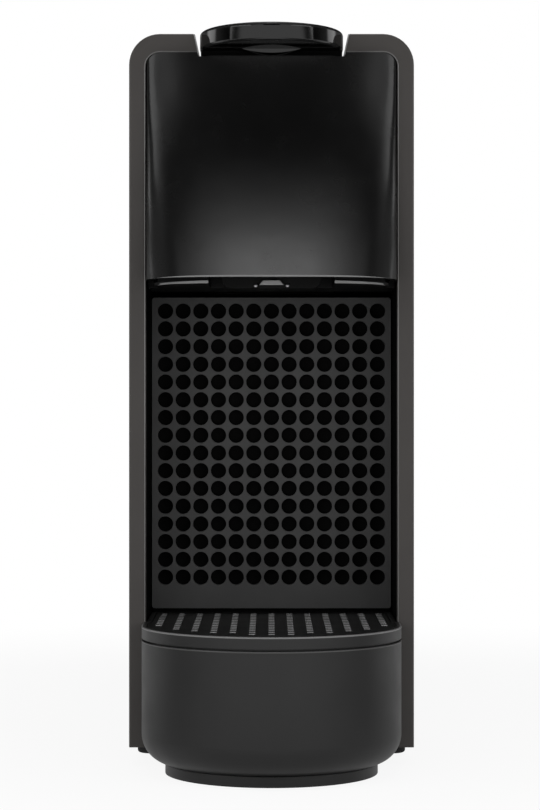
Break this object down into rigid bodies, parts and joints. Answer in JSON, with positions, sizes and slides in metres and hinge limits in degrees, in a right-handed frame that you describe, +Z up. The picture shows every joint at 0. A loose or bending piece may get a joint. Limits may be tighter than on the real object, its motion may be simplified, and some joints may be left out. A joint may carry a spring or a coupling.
{
  "type": "pod coffee machine",
  "caption": "Slim pod coffee machine with a lift lever, sliding brew chamber, cup bay with dotted panel, pull-out drip tray and capsule container, and a lift-out water tank.",
  "frame": {"origin": "middle of the footprint, on the surface the machine stands on", "axes": "+X to the right seen from the front, +Y from the drip tray to the water tank, +Z up"},
  "size_m": [0.081, 0.33, 0.2085],
  "materials": {
    "shell_grey": "fine satin",
    "gloss_black": "gloss",
    "satin_black": "satin",
    "charcoal": "matt",
    "inner_black": "matt",
    "inner_white": "matt",
    "clear_tank": "clear",
    "rubber_black": "matt",
    "silicone": "matt",
    "steel": "brushed",
    "cast_alloy": "cast",
    "coil_red": "varnished",
    "board_green": "satin",
    "chip_black": "matt"
  },
  "bodies": {
    "body": {"base_chassis": "charcoal", "bay_side_walls": "satin_black", "board_bracket": "inner_black", "board_parts": "chip_black", "brew_floor": "inner_white", "brew_hose": "silicone", "brew_side_plates": "inner_white", "button_board": "board_green", "cage_carrier": "inner_white", "capsule_cage": "inner_white", "chassis_screws": "steel", "circuit_board": "board_green", "coffee_funnel": "inner_white", "coffee_outlet": "gloss_black", "cord_gland": "rubber_black", "dock_seal": "rubber_black", "flow_meter_case": "inner_white", "flow_meter_cover": "inner_white", "front_fascia": "satin_black", "head_underplate": "satin_black", "inlet_hose": "silicone", "lever_bushes": "steel", "outer_shell": "shell_grey", "piercing_blades": "steel", "pressure_hose": "silicone", "pump_coil": "coil_red", "pump_cylinder": "steel", "pump_hose": "silicone", "pump_mounts": "rubber_black", "rear_wall": "inner_black", "rubber_feet": "rubber_black", "tact_switches": "chip_black", "tank_dock": "inner_black", "thermal_fuses": "steel", "thermoblock": "cast_alloy", "thermoblock_posts": "steel", "top_deck": "satin_black"},
    "lever": {"lever_handle": "gloss_black", "lever_core": "inner_black", "lever_shaft": "steel", "drive_gears": "inner_white"},
    "chamber": {"chamber_block": "inner_white", "extraction_plate": "steel", "drive_racks": "inner_white", "chamber_seal": "rubber_black"},
    "small_button": {"small_cup_button": "gloss_black"},
    "large_button": {"large_cup_button": "gloss_black"},
    "piston": {"pump_piston": "steel"},
    "wheel": {"flow_wheel": "inner_white"},
    "tank": {"water_tank": "clear_tank", "valve_cap": "inner_white", "valve_spring": "steel"},
    "poppet": {"valve_poppet": "inner_white"},
    "lid": {"tank_lid": "satin_black"},
    "tray": {"drip_tray": "charcoal", "tray_ring": "charcoal", "tray_foot": "charcoal", "capsule_container": "inner_black", "dot_panel": "charcoal"},
    "grid": {"cup_grid": "satin_black"}
  },
  "joints": [
    {"name": "lever_lift", "type": "hinge", "parent": "body", "child": "lever", "pos_m": [0, -0.038, 0.196], "axis": [-1, 0, 0], "range_deg": [0, 80]},
    {"name": "chamber_slide", "type": "slide", "parent": "body", "child": "chamber", "axis": [0, -1, 0], "range_m": [0, 0.028]},
    {"name": "small_button_press", "type": "slide", "parent": "body", "child": "small_button", "axis": [0, 0, -1], "range_m": [0, 0.001], "stiffness_N_per_m": 1200, "springref_m": -0.0005},
    {"name": "large_button_press", "type": "slide", "parent": "body", "child": "large_button", "axis": [0, 0, -1], "range_m": [0, 0.001], "stiffness_N_per_m": 1200, "springref_m": -0.0005},
    {"name": "tray_pull", "type": "slide", "parent": "body", "child": "tray", "axis": [0, -1, 0], "range_m": [0, 0.12]},
    {"name": "grid_lift", "type": "slide", "parent": "tray", "child": "grid", "axis": [0, 0, 1], "range_m": [0, 0.06]},
    {"name": "tank_lift", "type": "slide", "parent": "body", "child": "tank", "axis": [0, 0, 1], "range_m": [0, 0.12]},
    {"name": "lid_lift", "type": "slide", "parent": "tank", "child": "lid", "axis": [0, 0, 1], "range_m": [0, 0.05]},
    {"name": "valve_open", "type": "slide", "parent": "tank", "child": "poppet", "axis": [0, 0, 1], "range_m": [0, 0.002], "stiffness_N_per_m": 300, "springref_m": -0.001, "deforming": ["valve_spring"]},
    {"name": "pump_stroke", "type": "slide", "parent": "body", "child": "piston", "axis": [0, 1, 0], "range_m": [-0.003, 0.003], "stiffness_N_per_m": 1500},
    {"name": "flow_wheel_spin", "type": "hinge", "parent": "body", "child": "wheel", "pos_m": [-0.02, 0.08, 0.015], "axis": [0, 0, 1], "continuous": true}
  ],
  "couplings": [
    {"joint": "chamber_slide", "follows": "lever_lift", "m_per_rad": 0.02}
  ]
}
